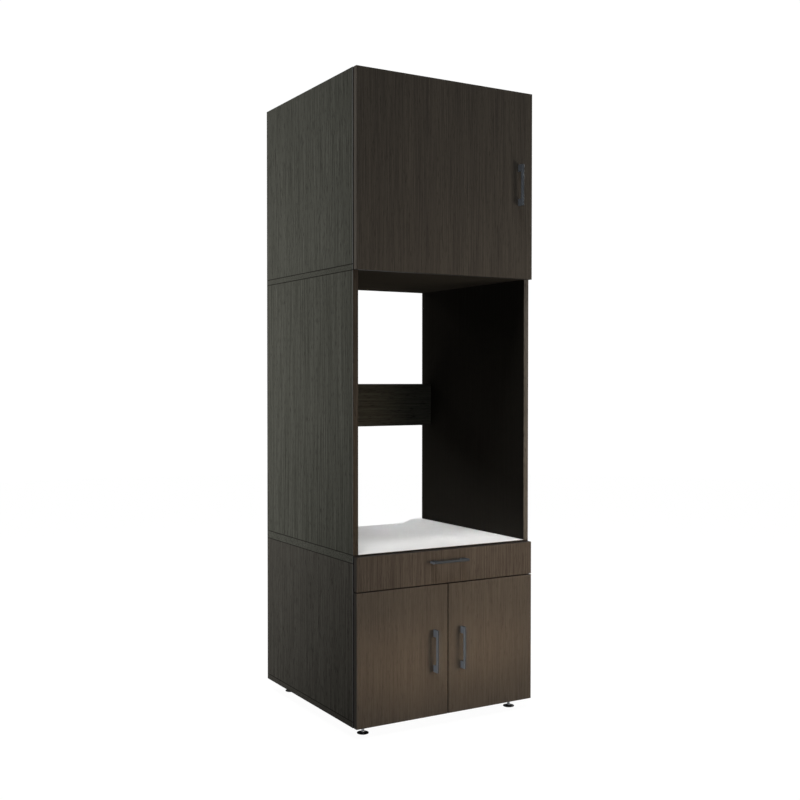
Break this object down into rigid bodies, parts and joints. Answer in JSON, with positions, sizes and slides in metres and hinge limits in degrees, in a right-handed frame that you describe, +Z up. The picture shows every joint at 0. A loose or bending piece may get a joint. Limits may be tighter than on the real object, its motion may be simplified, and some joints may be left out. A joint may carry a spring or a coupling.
{
  "type": "washing machine cabinet",
  "caption": "Tall dark wood-grain laundry cabinet with an open washing machine niche, a closed unit above it and a drawer and doors below, on levelling feet.",
  "frame": {"origin": "on the floor, under the middle of the cabinet's overall width and depth, handles included", "axes": "+Z up, -Y out of the doors towards the user, +X to the user's right"},
  "size_m": [0.652, 0.68, 2.007],
  "materials": {
    "dark_carcass": "dark wood-grain melamine, satin",
    "white_laminate": "white laminate, semi-gloss",
    "hardboard": "dark lacquered hardboard, matt",
    "dark_front": "dark oak-grain melamine, satin",
    "gunmetal": "gunmetal lacquer, semi-gloss",
    "nickel_steel": "nickel plate, satin",
    "bright_steel": "bright zinc plate",
    "drawer_board": "dark melamine, satin",
    "runner_coat": "white epoxy coat, satin",
    "roller_nylon": "natural nylon, matt",
    "black_plastic": "black moulded plastic, satin"
  },
  "bodies": {
    "cabinet": {"base_bottom_board": "dark_carcass", "base_left_side": "dark_carcass", "base_right_side": "dark_carcass", "deck_board": "dark_carcass", "niche_left_side": "dark_carcass", "niche_right_side": "dark_carcass", "niche_back_rail": "dark_carcass", "upper_floor_board": "dark_carcass", "upper_left_side": "dark_carcass", "upper_right_side": "dark_carcass", "upper_top_board": "dark_carcass", "upper_shelf": "dark_carcass", "deck_laminate": "white_laminate", "base_back_panel": "hardboard", "upper_back_panel": "hardboard", "shelf_pins": "nickel_steel", "hinge_arms": "nickel_steel", "hinge_plates": "nickel_steel", "hinge_pins": "bright_steel", "cabinet_runner_left": "runner_coat", "cabinet_runner_right": "runner_coat", "front_roller_axles": "bright_steel"},
    "upper_door": {"upper_door": "dark_front", "upper_door_handle": "gunmetal", "upper_door_hinge_cups": "nickel_steel"},
    "lower_left_door": {"lower_left_door": "dark_front", "lower_left_handle": "gunmetal", "lower_left_door_hinge_cups": "nickel_steel"},
    "lower_right_door": {"lower_right_door": "dark_front", "lower_right_handle": "gunmetal", "lower_right_door_hinge_cups": "nickel_steel"},
    "drawer": {"drawer_front": "dark_front", "drawer_handle": "gunmetal", "drawer_left_side": "drawer_board", "drawer_right_side": "drawer_board", "drawer_inner_front": "drawer_board", "drawer_back": "drawer_board", "drawer_bottom": "hardboard", "drawer_runner_left": "runner_coat", "drawer_runner_right": "runner_coat", "rear_roller_axles": "bright_steel"},
    "front_roller_left": {"front_roller_left": "roller_nylon"},
    "front_roller_right": {"front_roller_right": "roller_nylon"},
    "rear_roller_left": {"rear_roller_left": "roller_nylon"},
    "rear_roller_right": {"rear_roller_right": "roller_nylon"},
    "foot_front_left": {"foot_pad_front_left": "black_plastic", "foot_stud_front_left": "bright_steel"},
    "foot_front_right": {"foot_pad_front_right": "black_plastic", "foot_stud_front_right": "bright_steel"},
    "foot_back_left": {"foot_pad_back_left": "black_plastic", "foot_stud_back_left": "bright_steel"},
    "foot_back_right": {"foot_pad_back_right": "black_plastic", "foot_stud_back_right": "bright_steel"}
  },
  "joints": [
    {"name": "upper_door_hinge", "type": "hinge", "parent": "cabinet", "child": "upper_door", "pos_m": [-0.318, -0.3075, 1.706], "axis": [0, 0, -1], "range_deg": [0, 110]},
    {"name": "lower_left_door_hinge", "type": "hinge", "parent": "cabinet", "child": "lower_left_door", "pos_m": [-0.318, -0.3075, 0.236], "axis": [0, 0, -1], "range_deg": [0, 110]},
    {"name": "lower_right_door_hinge", "type": "hinge", "parent": "cabinet", "child": "lower_right_door", "pos_m": [0.318, -0.3075, 0.236], "axis": [0, 0, 1], "range_deg": [0, 110]},
    {"name": "drawer_slide", "type": "slide", "parent": "cabinet", "child": "drawer", "axis": [0, -1, 0], "range_m": [0, 0.34]},
    {"name": "front_roller_left_spin", "type": "hinge", "parent": "cabinet", "child": "front_roller_left", "pos_m": [-0.30175, -0.282, 0.4635], "axis": [1, 0, 0], "range_deg": [0, 3250]},
    {"name": "front_roller_right_spin", "type": "hinge", "parent": "cabinet", "child": "front_roller_right", "pos_m": [0.30175, -0.282, 0.4635], "axis": [1, 0, 0], "range_deg": [0, 3250]},
    {"name": "rear_roller_left_spin", "type": "hinge", "parent": "drawer", "child": "rear_roller_left", "pos_m": [-0.30175, 0.144, 0.4635], "axis": [1, 0, 0], "range_deg": [0, 3250]},
    {"name": "rear_roller_right_spin", "type": "hinge", "parent": "drawer", "child": "rear_roller_right", "pos_m": [0.30175, 0.144, 0.4635], "axis": [1, 0, 0], "range_deg": [0, 3250]},
    {"name": "foot_front_left_level", "type": "slide", "parent": "cabinet", "child": "foot_front_left", "axis": [0, 0, 1], "range_m": [-0.01, 0.008]},
    {"name": "foot_front_right_level", "type": "slide", "parent": "cabinet", "child": "foot_front_right", "axis": [0, 0, 1], "range_m": [-0.01, 0.008]},
    {"name": "foot_back_left_level", "type": "slide", "parent": "cabinet", "child": "foot_back_left", "axis": [0, 0, 1], "range_m": [-0.01, 0.008]},
    {"name": "foot_back_right_level", "type": "slide", "parent": "cabinet", "child": "foot_back_right", "axis": [0, 0, 1], "range_m": [-0.01, 0.008]}
  ],
  "couplings": [
    {"joint": "front_roller_left_spin", "follows": "drawer_slide", "rad_per_m": 166.67},
    {"joint": "front_roller_right_spin", "follows": "drawer_slide", "rad_per_m": 166.67},
    {"joint": "rear_roller_left_spin", "follows": "drawer_slide", "rad_per_m": 166.67},
    {"joint": "rear_roller_right_spin", "follows": "drawer_slide", "rad_per_m": 166.67}
  ]
}
